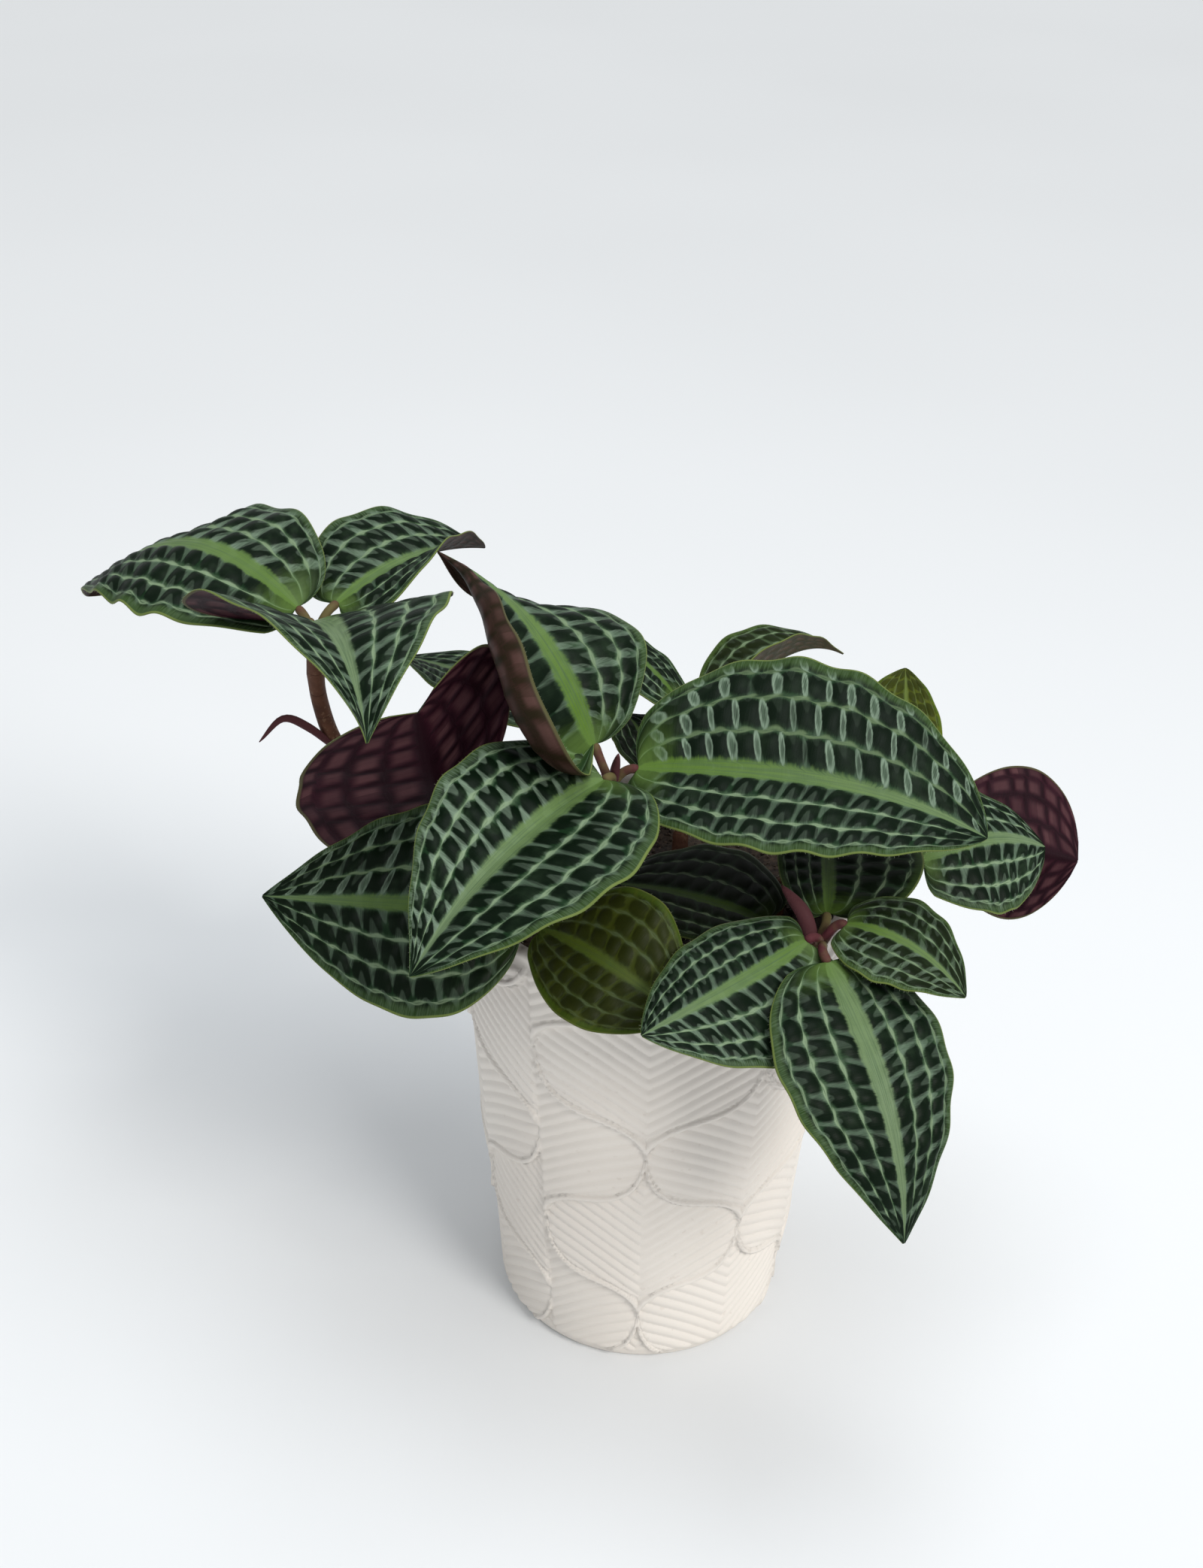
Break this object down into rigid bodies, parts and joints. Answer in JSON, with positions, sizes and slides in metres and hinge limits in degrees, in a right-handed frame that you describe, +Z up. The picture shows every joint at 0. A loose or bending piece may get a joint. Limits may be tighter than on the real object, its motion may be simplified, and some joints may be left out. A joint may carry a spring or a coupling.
{
  "type": "potted seersucker plant",
  "caption": "Potted seersucker plant: broad puckered striped leaves on short stems, in a tapered cream planter with moulded leaf relief.",
  "frame": {"origin": "middle of the underside of the planter's foot", "axes": "+Z up; -Y towards the side that the picture shows; +X to the right there"},
  "size_m": [0.3543, 0.2422, 0.2866],
  "materials": {
    "cream_ceramic": "matte",
    "potting_soil": "rough",
    "stem_skin": "satin",
    "leaf_skin": "semi-gloss"
  },
  "bodies": {
    "root": {"pot": "cream_ceramic", "soil": "potting_soil", "stem_a": "stem_skin", "stem_b": "stem_skin", "stem_c": "stem_skin", "stem_e": "stem_skin", "stem_g": "stem_skin", "stem_h": "stem_skin", "stem_i": "stem_skin", "leaf_a1": "leaf_skin", "leaf_a2": "leaf_skin", "leaf_a3": "leaf_skin", "leaf_b1": "leaf_skin", "leaf_b2": "leaf_skin", "leaf_b3": "leaf_skin", "leaf_b4": "leaf_skin", "leaf_c1": "leaf_skin", "leaf_c2": "leaf_skin", "leaf_d1": "leaf_skin", "leaf_e1": "leaf_skin", "leaf_e2": "leaf_skin", "leaf_e3": "leaf_skin", "leaf_e4": "leaf_skin", "leaf_f1": "leaf_skin", "leaf_g1": "leaf_skin", "leaf_g2": "leaf_skin", "leaf_g3": "leaf_skin", "leaf_h1": "leaf_skin", "leaf_i1": "leaf_skin", "leaf_k1": "leaf_skin"}
  },
  "joints": []
}
